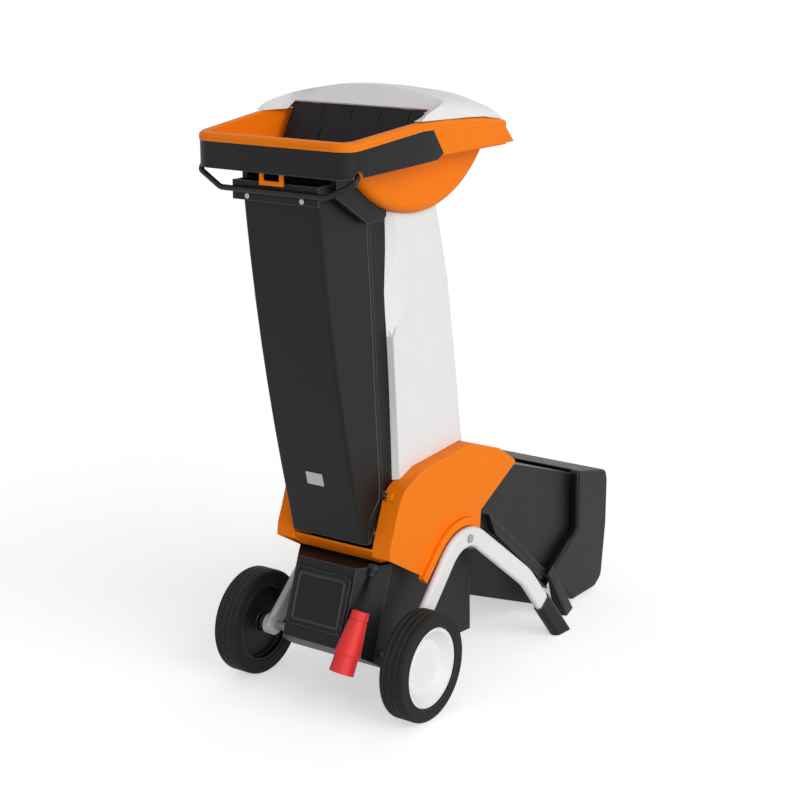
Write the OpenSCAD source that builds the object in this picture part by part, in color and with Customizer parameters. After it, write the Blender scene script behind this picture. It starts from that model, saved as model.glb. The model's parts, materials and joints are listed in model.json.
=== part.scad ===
// Garden shredder on two wheels: tilted cutting unit, tall feed chute, folding hopper and rear discharge
// Millimetres. +X to the operator's right, +Y towards the discharge, +Z up, floor at zero.
// Sizes along Y are measured from the wheel axle, sizes along Z from the floor.

/* [Wheels] */
// Tyre diameter
wheel_d = 250; // [230:2:260]
// Tyre width
wheel_w = 61; // [50:1:64]
// Distance of a wheel's middle from the frame tube at the axle
wheel_room = 46; // [44:1:60]
// Rim diameter under the tyre
rim_d = 185; // [160:1:200]
// Axle diameter
axle_d = 20; // [16:1:24]
// Depth and width of a tread groove
tread_groove = 3; // [1:0.5:5]
// Hub diameter
hub_d = 48; // [40:1:56]

/* [Frame] */
// Height of the flat oval tube's section
tube_h = 48; // [40:1:54]
// Thickness of the flat oval tube's section
tube_t = 20; // [16:1:24]
// Tube wall
tube_wall = 2; // [1.5:0.25:3]
// Distance of the feet behind the axle
foot_y = 610; // [590:5:640]
// Sideways splay of a foot from the tube's top
foot_splay = 62; // [44:2:66]
// Sideways splay of a tube at the axle from the tube's top
axle_splay = 10; // [8:1:12]
// Sideways distance of a tube's top from the base housing's side
tube_room = 19; // [17:1:24]
// Distance of the tube's corner behind the axle
bend_y = 257; // [250:1:264]
// Height of the tube's corner
bend_z = 372; // [366:1:378]
// Bend radius at the tube's middle line
bend_r = 100; // [90:5:120]
// Distance of the rear leg's knee behind the axle
knee_y = 480; // [470:1:490]
// Height of the rear leg's knee
knee_z = 180; // [174:1:186]
// Bend radius at the knee
knee_r = 145; // [100:5:160]
// Length of a foot sleeve along its leg
foot_len = 125; // [90:5:140]
// Wall of a foot sleeve
foot_wall = 3; // [2:0.5:5]
// Shank diameter of the bolts that hold the tubes
frame_bolt_d = 12; // [8:1:14]

/* [Cutting unit] */
// Tilt of the motor axis, top towards the discharge
lean = 19; // [17:0.5:20]
// Distance of the cutting disc's centre behind the axle
disc_y = 229; // [225:1:235]
// Height of the cutting disc's top face at its centre
disc_z = 360; // [356:1:364]
// Cutting disc diameter
disc_d = 256; // [240:2:264]
// Cutting disc thickness
disc_t = 8; // [6:0.5:10]
// Gap between the disc's edge and the chamber ring
ring_gap = 14; // [10:0.5:15]
// Height of the chamber ring above its floor
ring_h = 62; // [50:1:64]
// Drop from the disc's top face to the chamber floor
floor_drop = 30; // [26:1:34]
// Thickness of the chamber floor
floor_t = 8; // [6:0.5:10]
// Knife thickness
knife_t = 5; // [3:0.5:6]
// Knife width
knife_w = 34; // [24:1:40]

/* [Motor] */
// Motor shaft diameter
shaft_d = 24; // [18:1:28]
// Rotor diameter
rotor_d = 84; // [70:1:90]
// Stator outer diameter
stator_d = 156; // [140:1:160]
// Stator length
stator_len = 90; // [60:2:96]
// Height of a winding's end turns
winding_h = 20; // [12:1:22]
// Wall of the motor sleeve
sleeve_wall = 4.5; // [3:0.5:6]
// Bearing outer diameter
bearing_d = 47; // [40:1:52]
// Bearing width
bearing_w = 12; // [10:1:14]
// Fan diameter
fan_d = 140; // [100:2:146]
// Number of fan blades
fan_blades = 8; // [5:1:10]

/* [Housings] */
// Wall of the moulded housings
wall = 3.5; // [3:0.25:4]
// Distance of the base housing's side from the disc's edge
base_room = 31; // [29:0.5:34]
// Half width of the motor housing
motor_x = 129; // [126:0.5:132]
// Half width of the flat part of the motor housing's front
front_x = 82; // [74:1:90]
// Inner face of the base housing's arms, from the middle
arm_x = 110; // [109.5:0.25:112]
// Distance of the discharge chute's side inside the base housing's side
duct_room = 9; // [8:0.5:14]
// Distance of the discharge hood's side outside the chute's side
hood_room = 27; // [24:0.5:30]
// Rearmost reach of the discharge hood
hood_rear_y = 957; // [930:1:970]

/* [Chute] */
// Half width of the chute's front panel
panel_x = 99.4; // [96:0.2:101]
// Half width of the black side walls at their rear edges
black_x = 107; // [105:0.25:108]
// Half width of the white rear cover
white_x = 124; // [120:0.5:126]
// Corner radius at the back of the rear cover
white_r = 40; // [20:1:50]
// Distance of the panel's top from the axle
panel_top_y = -181; // [-184:0.5:-178]
// Distance of the panel's foot from the axle
panel_foot_y = -29; // [-31:0.5:-26]
// Share of the panel's lean that comes from its bow
panel_bow = 0.46; // [0.3:0.02:0.6]
// Height of the chute's hinge pins
pin_z = 485; // [482:0.5:487]
// Distance of the chute's hinge pins behind the axle
pin_y = 40; // [38:0.5:42]
// Diameter of the chute's hinge pins
pin_d = 10; // [8:0.5:12]
// Diameter of the lock knob
knob_d = 44; // [36:1:48]

/* [Tray and handle] */
// Half width of the storage tray
tray_x = 110; // [104:0.5:112]
// Depth of the storage tray, front to back
tray_len = 103; // [80:1:106]
// Height of the storage tray's lip
tray_h = 25; // [18:0.5:26]
// Handle rod diameter
rod_d = 12.5; // [8:0.5:13]
// Half length of the handle's front bar
rod_x = 139; // [120:1:146]
// Sideways distance of a handle bolt from the middle
handle_bolt_x = 71.5; // [50:0.5:90]

/* [Hopper] */
// Half width of the bowl's mouth
bowl_x = 183; // [181:0.5:185]
// Front of the bowl's mouth, from the axle
bowl_front_y = -196; // [-198:0.5:-194]
// Height of the rim at the front
rim_front_z = 1296; // [1294:0.5:1298]
// Height of the rim beside the hood's front edge
rim_side_z = 1318; // [1315:0.5:1320]
// Height of the rim at the back
rim_rear_z = 1291; // [1288:0.5:1294]
// Radius of the drum under the bowl
drum_r = 313; // [309:0.5:316]
// Half width of the drum
drum_x = 150; // [140:0.5:152]
// Distance of the drum's centre behind the axle
drum_y = 128; // [126:0.5:130]
// Height of the drum's lowest line
drum_low_z = 1111; // [1108:0.5:1114]
// Band thickness
band_t = 3; // [2:0.25:3.5]
// Widening of the bowl from its front to the hood, on each side
flare = 17; // [12:0.5:20]
// Height of the hood's crown above the rim
crown_h = 58; // [52:1:66]
// Hood's front edge, from the axle
curtain_y = 101; // [98:0.5:104]
// Height of the hood's front edge
curtain_z = 1336; // [1333:0.5:1338]
// Thickness of the feed curtain
curtain_t = 3; // [2:0.5:4]
// Diameter of the hopper's hinge pin
hinge_d = 8; // [6:0.5:10]
// Diameter of the latch's pin
latch_pin_d = 5; // [4:0.25:5.5]

/* [Mains] */
// Mains cord diameter
cord_d = 10.5; // [9:0.5:11]
// Plug diameter at its mouth
plug_d = 56; // [50:1:57]
// Plug length
plug_len = 143; // [130:1:146]

/* [Clearances] */
// Radial clearance of a pin or shaft in its bore
pin_gap = 0.05; // [0.02:0.01:0.1]
// Gap between seated parts
seat_gap = 0.3; // [0.2:0.05:0.4]
// Gap between the drum and the chute's top
saddle_gap = 0.6; // [0.4:0.1:1]

/* [Hidden] */
$fn = 72;
big = 2000;

// Half widths that follow from the cutting disc
base_x = disc_d / 2 + base_room;
duct_x = base_x - duct_room;
hood_x = duct_x + hood_room;
tube_x = base_x + tube_room;
foot_x = tube_x + foot_splay;
axle_lug_x = tube_x + axle_splay;
wheel_x = axle_lug_x + wheel_room;

// Wheel and frame places
wheel_r = wheel_d / 2;
rim_r = rim_d / 2;
axle_r = axle_d / 2;
hub_r = hub_d / 2;
axle_half = wheel_x - 1.5;
lug_x1 = axle_lug_x + tube_t / 2 + 2;
hub_in = 28;
hub_out = -2;
rim_in = 27;
rim_out = 24;

// Frame tube's middle line seen from the side
tube_path = concat(
    [[-12, wheel_r - 12 * (bend_z - wheel_r) / bend_y]],
    corner([0, wheel_r], [bend_y, bend_z], [knee_y, knee_z], bend_r, 10),
    corner([bend_y, bend_z], [knee_y, knee_z], [foot_y, 0], knee_r, 5),
    [[foot_y, 0]]);
bend_start = tube_path[1][0];
bend_end = tube_path[11][0];
knee_end = tube_path[len(tube_path) - 2];
apex = (tube_path[6] + tube_path[7]) / 2;

// Lip of the base housing over a tube, between two distances above the tube's middle line
lip_y = 130;
lip_path = concat([[lip_y, wheel_r + lip_y * (bend_z - wheel_r) / bend_y]],
    [for (i = [1 : 9]) tube_path[i]]);
function above_tube(d) = [for (i = [0 : len(lip_path) - 1])
    let (t = unit(lip_path[min(i + 1, len(lip_path) - 1)] - lip_path[max(i - 1, 0)]))
    lip_path[i] + [-t[1], t[0]] * (tube_h / 2 + d)];
lip_ring = concat(above_tube(2), [for (i = [len(lip_path) - 1 : -1 : 0]) above_tube(21)[i]]);
lip_x = tube_x - 5;
leg = [foot_x - tube_side(knee_end[0]), foot_y - knee_end[0], -knee_end[1]];

// Base housing's side outline, from the front foot of an arm round by the back
base_points = [[-15, 358], [136, 270], [176, 312], [262, 332], [356, 318], [360, 374], [518, 456], [440, 507],
    [315, 549], [120, 535], [48, 508], [24, 478], [4, 424], [-11, 388]];
base_outline = rounded(base_points, [6, 12, 30, 40, 8, 3, 6, 80, 60, 60, 30, 30, 60, 20]);
bar_top = [-16, 372];
bar_low = [18, 335];
arm_rear_y = 70;
cheek_room = [[-30, 345], [-10, 334], [40, 334], [arm_rear_y, 372], [arm_rear_y, 560], [-30, 560]];
throat_x = 111;
throat_y = [60, 326];

// Motor housing's side outline and the plan of its front, seen along the motor axis
motor_outline = [[38, 330], [-36, 330], [-97, 158], [0, 91], [363, 66], [358, 275], [75, 373]];
motor_front = -240;
motor_corner = -173;
motor_rear = 330;
cover_z = [-268, -136];
axle_room = 2;
motor_plan = [[-motor_x, motor_rear], [-motor_x, motor_corner], [-front_x, motor_front],
    [front_x, motor_front], [motor_x, motor_corner], [motor_x, motor_rear]];

// Discharge chute and hood seen from the side
duct_upper = [[430, 476], [415, 299], [690, 73], [815, 200], [795, 353]];
duct_lower = [[372, 150], [700, 18], [690, 73], [415, 299], [385, 290]];
apron_x = duct_x - 40;
duct_gap = 2;
hood_outline = rounded(
    [[796, 361], [800, 200], [764, 184], [655, 118], [788, 12], [905, 12], [hood_rear_y - 18, 34],
     [hood_rear_y, 180], [hood_rear_y, 300], [hood_rear_y - 8, 326]],
    [0, 10, 10, 0, 6, 20, 30, 40, 20, 16]);

// Cutting unit, along the motor axis from the disc's top face
floor_top = -floor_drop;
floor_low = floor_top - floor_t;
ring_r = disc_d / 2 + ring_gap;
floor_half = 150;
stator_top = floor_low - 47;
stator_low = stator_top - stator_len;
shield_t = 8;
upper_shield = floor_low - 16;
lower_shield = stator_low - winding_h - 19;
shaft_low = lower_shield - 28;
bore_r = shaft_d / 2 + pin_gap;

// Chute heights and outlines
chute_foot_z = 388;
tray_low_z = 1176;
panel_top_z = tray_low_z - seat_gap;
drum_z = drum_low_z + drum_r;
saddle_r = drum_r + saddle_gap;
white_rear = [[480, 361], [500, 358], [747, 322], [950, 287], [1160, 227]];
black_rear = [[chute_foot_z, -20], [500, 62], [530, 66], [610, 62], [749, 54], [840, 47], [930, 38],
    [980, 36], [1040, 42], [1200, 38]];
white_front = [[490, 74], [522, 73], [612, 66], [706, 58], [846, 49], [870, 66], [902, 82], [948, 74],
    [1037, 63], [1120, 54], [1200, 50]];
base_gap = 1.5;

// Tray, handle and latch
tray_front_y = -193;
apron_y = tray_front_y - wall;
rod_y = apron_y - rod_d / 2 - seat_gap;
rod_z = 1183;
bolt_z = rod_z - rod_d / 2 - 7.5;
rod_route = [[-192, -177, 1232], [-203, -183, 1225], [-200, -194, 1214], [-rod_x, rod_y, rod_z],
    [rod_x, rod_y, rod_z], [200, -194, 1214], [203, -183, 1225], [192, -177, 1232]];

// Hopper plan sizes, each one an offset from the bowl's mouth
front_r = 25;
rear_r = 20;
rear_low_y = 388;
rear_top_y = 352;
band_out = 20;
band_in = band_out - band_t;
rim_out_d = band_out + 1.5;
rim_lap = 17.5;
ledge_z = 1242;
flange_z = 1245;
flange_y = 98;
flare_y = 20;
band_low_z = 1222;
rim_heights = [[bowl_front_y, rim_front_z], [flare_y, rim_side_z], [110, rim_side_z - 1],
    [250, rim_side_z - 8], [rear_low_y, rim_rear_z]];
feed_hole = [[-94, -92], [94, 228]];
hinge_y = 262;
hinge_z = 1112;
latch_y = bowl_front_y - 10;
latch_z = 1232;
latch_x = 30;

// Hood: right half of its front edge from a wing's tip to the middle, each with its height over the rim
hood_w = bowl_x + flare + 18;
crown_z = rim_side_z + crown_h;
wing_edge = [[hood_w - 19, 18, 1], [hood_w - 24, 39, 2.5], [hood_w - 29, 60, 6], [hood_w - 34, 81, 12]];
wing_top = [[hood_w, 17, 1.4], [hood_w - 1, 40, 14], [hood_w - 4, 68, 21], [hood_w - 10, 100, 28]];
lens_x = hood_w - 38.5;
ridge_x = hood_w - 20;

// Hood's cross-sections behind the ridge: distance behind the axle, crown height and half width
hood_stations = [[190, crown_z - 1, hood_w + 1], [255, crown_z - 11, hood_w + 1],
    [310, crown_z - 31, hood_w - 2], [345, crown_z - 54, hood_w - 10], [366, crown_z - 77, hood_w - 22]];

// Cord route from the gland to the plug, and the plug's own line
cord_route = [[108, -14, 312], [109, -18, 306], [110, -23, 300], [111, -27, 294], [112, -31, 288],
    [113, -35, 282], [114, -39, 276], [114, -43, 271], [115, -46, 267], [115, -49, 263],
    [115, -52, 260], [115, -55, 257], [115, -57, 254], [115, -60, 251], [115, -62, 248]];
gland_root = [107, 0, 333];
plug_end = [106, -126, 119];
plug_start = 1.3;
pin_room = 40;

// Whole length, so that the origin lies under its middle
middle_y = (hood_rear_y + bowl_front_y - rim_out_d) / 2;

// Colours
orange = "#f58219";
black = "#2b2d2c";
white = "#e8e8e8";
steel = "#a9adb0";

// Shape functions

function unit(v) = v / norm(v);

// Arc of n steps that rounds the corner p between a and b
function corner(a, p, b, r, n) = r <= 0 ? [p] :
    let (u = unit(a - p), v = unit(b - p), half = acos(u * v) / 2,
        c = p + unit(u + v) * r / sin(half),
        s = p + u * r / tan(half) - c,
        e = p + v * r / tan(half) - c,
        start = atan2(s[1], s[0]),
        turn = atan2(e[1], e[0]) - start,
        sweep = turn > 180 ? turn - 360 : turn < -180 ? turn + 360 : turn)
    [for (i = [0 : n]) c + r * [cos(start + sweep * i / n), sin(start + sweep * i / n)]];

// Outline with each corner rounded by its own radius
function rounded(pts, radii, n = 6) = let (m = len(pts))
    [for (i = [0 : m - 1]) each corner(pts[(i + m - 1) % m], pts[i], pts[(i + 1) % m], radii[i], n)];

// Counter-clockwise outline moved inwards by d
function inset(pts, d) = let (m = len(pts))
    [for (i = [0 : m - 1])
        let (u = unit(pts[i] - pts[(i + m - 1) % m]), v = unit(pts[(i + 1) % m] - pts[i]),
            nu = [-u[1], u[0]], nv = [-v[1], v[0]])
        pts[i] + (nu + nv) * d / (1 + nu * nv)];

// Front panel's distance from the axle at a height
function panel_y(z) = let (t = (panel_top_z - z) / (panel_top_z - chute_foot_z))
    panel_top_y + (panel_foot_y - panel_top_y) * ((1 - panel_bow) * t + panel_bow * t * t);

// Hopper seen from above, d outside the bowl's mouth, with its back at rear_y
function hopper_plan(d, rear_y) =
    let (x = bowl_x + d, w = x + flare, f = bowl_front_y - d, b = rear_y + d, n = 8)
    concat(corner([w, b], [-w, b], [-w, flare_y], rear_r + d, n),
        [for (i = [3 : -1 : 1]) [-w, rim_heights[i][0]]],
        corner([-w, flare_y], [-x, f], [x, f], front_r + d, n),
        corner([-x, f], [x, f], [w, flare_y], front_r + d, n),
        [for (i = [1 : 3]) [w, rim_heights[i][0]]],
        corner([w, flare_y], [w, b], [-w, b], rear_r + d, n));

// Ring of the hopper plan at a height above or below the rim
function rim_ring(d, h) = [for (p = hopper_plan(d, rear_top_y)) [p[0], p[1], lookup(p[1], rim_heights) + h]];
function neck_ring(d, h) =
    let (share = 1 + h / (rim_rear_z - ledge_z + wall), y = rear_low_y + (rear_top_y - rear_low_y) * share)
    [for (p = hopper_plan(d, y)) [p[0], p[1], lookup(p[1], rim_heights) + h]];
function low_ring(d, z) = [for (p = hopper_plan(d, rear_low_y)) [p[0], p[1], z]];

// Arch of the hood: half width w and height h above the rim, in n steps from right to left
function arch(y, w, low, top, n = 20) = [for (i = [0 : n])
    let (a = 180 * i / n, c = cos(a), s = sin(a), k = 2 / 2.4)
    [w * sign(c) * pow(abs(c), k), y, low + (top - low) * pow(abs(s), k)]];

// Height of the hood's seat on the rim
function seat_z(y) = lookup(y, rim_heights) + 1 + seat_gap;

// Hood's ridge over the front edge, t from 1 at the right to 0 in the middle
function ridge(t) = [ridge_x * t, curtain_y + 27 + 20 * (1 - t * t), crown_z - 24 * t * t];

// Both halves of a line whose right half ends in the middle
function mirrored(half) = concat(half,
    [for (i = [len(half) - 2 : -1 : 0]) [-half[i][0], half[i][1], half[i][2]]]);

// Closed ring of the hood's wall from an inner and an outer line
function wall_ring(inner, outer) = concat(inner, [for (i = [len(outer) - 1 : -1 : 0]) outer[i]]);

// Building modules

module place() { translate([0, -middle_y, 0]) children(); }

// Side outline drawn from x0 to x1
module slab(x0, x1) { translate([x0, 0, 0]) rotate([90, 0, 90]) linear_extrude(x1 - x0) children(); }

module both_sides() {
    children();
    mirror([1, 0, 0]) children();
}

module on_side(side) { mirror([side < 0 ? 1 : 0, 0, 0]) children(); }

// Motor axis upright, disc's top face at zero
module along_motor() { translate([0, disc_y, disc_z]) rotate([-lean, 0, 0]) children(); }

module disc(r, low, high) { translate([0, 0, low]) cylinder(r = r, h = high - low); }

module hoop(r_out, r_in, low, high) {
    difference() {
        disc(r_out, low, high);
        disc(r_in, low - 1, high + 1);
    }
}

// Round bar along X
module pin(r, x0, x1, y, z) { translate([x0, y, z]) rotate([0, 90, 0]) cylinder(r = r, h = x1 - x0); }

// Round bar from p to q
module bar(p, q, r1, r2) {
    d = q - p;
    translate(p) rotate([0, acos(d[2] / norm(d)), atan2(d[1], d[0])]) cylinder(r1 = r1, r2 = r2, h = norm(d));
}

// Route with each inner point rounded by a curve that starts d before it
function softened(pts, d, n = 4) = concat([pts[0]],
    [for (i = [1 : len(pts) - 2])
        let (a = pts[i] + unit(pts[i - 1] - pts[i]) * d, b = pts[i] + unit(pts[i + 1] - pts[i]) * d)
        each [for (k = [0 : n]) let (t = k / n, v = 1 - t) a * v * v + pts[i] * 2 * t * v + b * t * t]],
    [pts[len(pts) - 1]]);

// Ring of n points across a route at point i
function round_ring(route, i, r, n) =
    let (t = unit(route[min(i + 1, len(route) - 1)] - route[max(i - 1, 0)]),
        u = unit(cross([0.1, 1, 0.3], t)), v = cross(t, u))
    [for (k = [0 : n - 1]) route[i] + (u * cos(360 * k / n) + v * sin(360 * k / n)) * r];

// Bent round rod along a route
module rod(route, r, n = 12) { loft([for (i = [0 : len(route) - 1]) round_ring(route, i, r, n)]); }

// Side faces between ring k and ring l of n points
function band_faces(k, l, n) = [for (i = [0 : n - 1])
    let (j = (i + 1) % n) each [[k * n + i, l * n + j, k * n + j], [k * n + i, l * n + i, l * n + j]]];

// Solid through closed rings of as many points each, capped at both ends
module loft(rings) {
    n = len(rings[0]);
    m = len(rings);
    polyhedron([for (r = rings) each r], concat(
        [[for (i = [0 : n - 1]) i]],
        [for (k = [0 : m - 2]) each band_faces(k, k + 1, n)],
        [[for (i = [n - 1 : -1 : 0]) (m - 1) * n + i]]));
}

// Thin-walled loft: the second half of each ring runs back along the first
module loft_wall(rings) {
    n = len(rings[0]);
    m = len(rings);
    top = (m - 1) * n;
    polyhedron([for (r = rings) each r], concat(
        [for (i = [0 : n / 2 - 2]) each [[i, i + 1, n - 1 - i], [i + 1, n - 2 - i, n - 1 - i]]],
        [for (k = [0 : m - 2]) each band_faces(k, k + 1, n)],
        [for (i = [0 : n / 2 - 2]) each [[top + i, top + n - 1 - i, top + i + 1],
            [top + i + 1, top + n - 1 - i, top + n - 2 - i]]]));
}

// Hoop through closed rings, the last one joined to the first
module loft_hoop(rings) {
    n = len(rings[0]);
    m = len(rings);
    polyhedron([for (r = rings) each r], [for (k = [0 : m - 1]) each band_faces(k, (k + 1) % m, n)]);
}

// Wheels

module on_wheel(side) {
    translate([side * wheel_x, 0, wheel_r]) rotate([0, side * 90, 0]) children();
}

module tyre(side) {
    shoulder = 9;
    on_wheel(side) difference() {
        rotate_extrude() polygon(rounded(
            [[rim_r + seat_gap, -wheel_w / 2], [wheel_r, -wheel_w / 2], [wheel_r, wheel_w / 2],
             [rim_r + seat_gap, wheel_w / 2]],
            [0, shoulder, shoulder, 0]));
        for (g = [-1 : 1])
            hoop(wheel_r + 1, wheel_r - tread_groove, g * wheel_w / 4 - tread_groove / 2,
                g * wheel_w / 4 + tread_groove / 2);
    }
}

module rim(side) {
    barrel = 6;
    web = 5;
    web_z = [-14, -10];
    on_wheel(side) rotate_extrude() polygon([
        [axle_r + pin_gap, -hub_in], [hub_r, -hub_in], [hub_r, web_z[0]], [rim_r - barrel, web_z[1]],
        [rim_r - barrel, -rim_in], [rim_r, -rim_in], [rim_r, rim_out], [rim_r - barrel, rim_out],
        [rim_r - barrel, web_z[1] + web], [hub_r, web_z[0] + web], [hub_r, hub_out],
        [axle_r + pin_gap, hub_out]]);
}

// Dished cover over a wheel's outer side
module hub_cap(side) {
    lip = rim_out + seat_gap;
    floor_z = 3;
    on_wheel(side) rotate_extrude() polygon([
        [0, floor_z - 2.5], [rim_r - 33, floor_z - 2.5], [rim_r - 26, floor_z + 1], [rim_r - 10, lip - 2],
        [rim_r - 8.5, lip], [rim_r - 0.5, lip], [rim_r - 0.5, lip + 1.7], [rim_r - 2, lip + 2.7],
        [rim_r - 9, lip + 2.4], [rim_r - 12, lip], [rim_r - 28.5, floor_z + 3], [rim_r - 34.5, floor_z],
        [hub_r + 22, floor_z], [hub_r + 20, floor_z + 2.5], [0, floor_z + 2.5]]);
}

module tyre_left() { color("#202121") place() tyre(-1); }
module tyre_right() { color("#202121") place() tyre(1); }
module rim_left() { color(black) place() rim(-1); }
module rim_right() { color(black) place() rim(1); }
module hub_cap_left() { color(white) place() hub_cap(-1); }
module hub_cap_right() { color(white) place() hub_cap(1); }

// Frame

// Sideways distance of a tube from the middle at a distance behind the axle
function tube_side(y) =
    y < bend_start ? axle_lug_x - axle_splay * max(y, 0) / bend_start :
    y > bend_end ? tube_x + foot_splay * (y - bend_end) / (foot_y - bend_end) : tube_x;

// Oval section across the tube's middle line at route point i, smaller all round by d and past the ends by d
function tube_ring(i, d) =
    let (last = len(tube_path) - 1, a = tube_path[max(i - 1, 0)], b = tube_path[min(i + 1, last)],
        t = unit(b - a), m = [t[1], -t[0]], r = tube_t / 2 - d, l = (tube_h - tube_t) / 2,
        p = tube_path[i] + t * (i == 0 ? -d : i == last ? d : 0), x = tube_side(p[0]))
    [for (k = [0 : 13])
        let (w = 180 * (k % 7) / 6 + (k < 7 ? 0 : 180), h = r * sin(w) + (k < 7 ? l : -l))
        [x + r * cos(w), p[0] + m[0] * h, p[1] + m[1] * h]];

module tube_body(d) { loft([for (i = [0 : len(tube_path) - 1]) tube_ring(i, d)]); }

module frame_tube(side) {
    lug_r = tube_h / 2;
    on_side(side) difference() {
        union() {
            difference() {
                tube_body(0);
                tube_body(tube_wall);
            }
            pin(lug_r, axle_lug_x - tube_t / 2, lug_x1, 0, wheel_r);
            pin(frame_bolt_d, tube_x - tube_t / 2 + 1, tube_x + tube_t / 2 - 1, apex[0], apex[1]);
        }
        pin(axle_r + pin_gap, 0, big, 0, wheel_r);
        pin(frame_bolt_d / 2 + pin_gap, 0, big, apex[0], apex[1]);
        translate([0, 0, -big]) cube([2 * big, 2 * big, 2 * big + 4 * foot_wall], center = true);
    }
}

// Upright axis along the rear leg from the foot's middle
module along_leg() {
    translate([foot_x, foot_y, 0]) rotate([atan2(leg[1], -leg[2]), 0, 0])
        rotate([0, -asin(leg[0] / norm(leg)), 0]) children();
}

module oval(h, t) {
    square([t, h - t], center = true);
    for (s = [-1, 1]) translate([0, s * (h - t) / 2]) circle(d = t);
}

module foot(side) {
    grow = 2 * (foot_wall + seat_gap);
    on_side(side) difference() {
        intersection() {
            along_leg() translate([0, 0, -60]) linear_extrude(foot_len + 60)
                oval(tube_h + grow, tube_t + grow);
            translate([-big / 2, -big / 2, 0]) cube(big);
        }
        difference() {
            along_leg() translate([0, 0, -60]) linear_extrude(big / 4)
                oval(tube_h + 2 * seat_gap, tube_t + 2 * seat_gap);
            translate([-big / 2, -big / 2, -big]) cube([big, big, big + 2 * foot_wall - seat_gap]);
        }
    }
}

module frame_tube_left() { color(white) place() frame_tube(-1); }
module frame_tube_right() { color(white) place() frame_tube(1); }
module foot_left() { color(black) place() foot(-1); }
module foot_right() { color(black) place() foot(1); }

module axle() { color(steel) place() pin(axle_r, -axle_half, axle_half, 0, wheel_r); }

module axle_washers() {
    color(steel) place() both_sides() difference() {
        pin(axle_r + 7, lug_x1 + seat_gap, wheel_x - hub_in - seat_gap, 0, wheel_r);
        pin(axle_r + pin_gap, 0, big, 0, wheel_r);
    }
}

module frame_bolts() {
    head_x = tube_x + tube_t / 2 + seat_gap;
    color(steel) place() both_sides() {
        pin(frame_bolt_d / 2, base_x - wall, head_x + 1, apex[0], apex[1]);
        pin(frame_bolt_d * 0.8, head_x, head_x + 5, apex[0], apex[1]);
    }
}

// Base housing

module base_solid() { slab(-base_x, base_x) polygon(base_outline); }

module base_housing() {
    cheek_wall = wall;
    boss_r = frame_bolt_d / 2 + 8;
    boss_x = tube_x - tube_t / 2 - seat_gap;
    inner = inset(base_outline, wall);
    color(orange) place() difference() {
        union() {
            difference() {
                base_solid();
                slab(wall - base_x, base_x - wall) polygon(inner);
                translate([0, 0, -4 * wall]) slab(wall - base_x, base_x - wall) polygon(inner);
                translate([-arm_x, -big / 2, 0]) cube([2 * arm_x, big / 2 + arm_rear_y, big]);
                translate([-throat_x, throat_y[0], disc_z + 60])
                    cube([2 * throat_x, throat_y[1] - throat_y[0], big]);
            }
            both_sides() intersection() {
                slab(arm_x, arm_x + cheek_wall) polygon(base_outline);
                slab(arm_x, arm_x + cheek_wall) polygon(cheek_room);
            }
            slab(-arm_x - cheek_wall, arm_x + cheek_wall) polygon([bar_top, bar_low, bar_low + [wall, wall],
                bar_top + [wall, wall]]);
            both_sides() pin(pin_d / 2 + 6, arm_x + 1, arm_x + 22, pin_y, pin_z);
            both_sides() pin(boss_r, base_x - wall, boss_x, apex[0], apex[1]);
            both_sides() slab(base_x - wall, lip_x) polygon(lip_ring);
        }
        both_sides() pin(pin_d / 2 + pin_gap, arm_x - 1, arm_x + 23, pin_y, pin_z);
        both_sides() pin(frame_bolt_d / 2 + pin_gap, base_x - 20, big, apex[0], apex[1]);
        both_sides() translate([arm_x - 1, pin_y - 22, pin_z - 4]) cube([9, 26, 13]);
        lock_axis() disc(10, -14, 20);
        slab(-duct_x - duct_gap, duct_x + duct_gap) polygon([duct_upper[0] + [0, duct_gap],
            duct_upper[4] + [0, duct_gap], duct_upper[4] - [0, 100], [400, 380]]);
    }
}

module chute_pins() {
    color(steel) place() both_sides() pin(pin_d / 2, arm_x - 12, arm_x + 22, pin_y, pin_z);
}

// Motor housing

module motor_shell(d) {
    intersection() {
        slab(-big / 4, big / 4) polygon(inset(motor_outline, d));
        along_motor() translate([0, 0, -big / 4]) linear_extrude(big / 2) polygon(inset(motor_plan, d));
    }
}

module motor_housing() {
    color(black) place() difference() {
        motor_shell(0);
        motor_shell(wall);
        along_motor() translate([-motor_x + wall, -floor_half + 4, floor_low - 3 * wall])
            cube([2 * (motor_x - wall), 2 * floor_half - 20, 8 * wall]);
        along_motor() translate([0, 0, floor_low - seat_gap]) linear_extrude(big / 4)
            square([big, big], center = true);
        pin(axle_r + axle_room, -big / 4, big / 4, 0, wheel_r);
    }
}

// Front cover's plate, smaller all round by d
module cover_plate(d, r) {
    half = front_x - 6 - d;
    low = cover_z[0] + d;
    high = cover_z[1] - d;
    polygon(rounded([[-half, low], [half, low], [half, high], [-half, high]], [r, r, r, r]));
}

module front_cover() {
    cover_t = 4;
    groove = 3;
    color(black) place() along_motor() translate([0, motor_front - seat_gap, 0]) rotate([90, 0, 0])
        difference() {
            linear_extrude(cover_t) cover_plate(0, 10);
            translate([0, 0, cover_t - 1.5]) linear_extrude(cover_t) difference() {
                cover_plate(12, 8);
                cover_plate(12 + groove, 5);
            }
        }
}

module cover_screws() {
    head_r = 4;
    color(black) place() along_motor()
        for (x = [-1, 1], z = [cover_z[0] + 6, cover_z[1] - 6])
            translate([x * (front_x - 14), motor_front - 4 - 2 * seat_gap, z]) rotate([90, 0, 0])
                cylinder(r = head_r, h = 2);
}

// Cutting chamber

module chamber_floor() {
    half_x = base_x - wall - 1;
    color(steel) place() along_motor() difference() {
        translate([-half_x, -floor_half, floor_low]) cube([2 * half_x, 2 * floor_half, floor_t]);
        disc(shaft_d / 2 + 1, floor_low - 1, floor_top + 1);
    }
}

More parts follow.
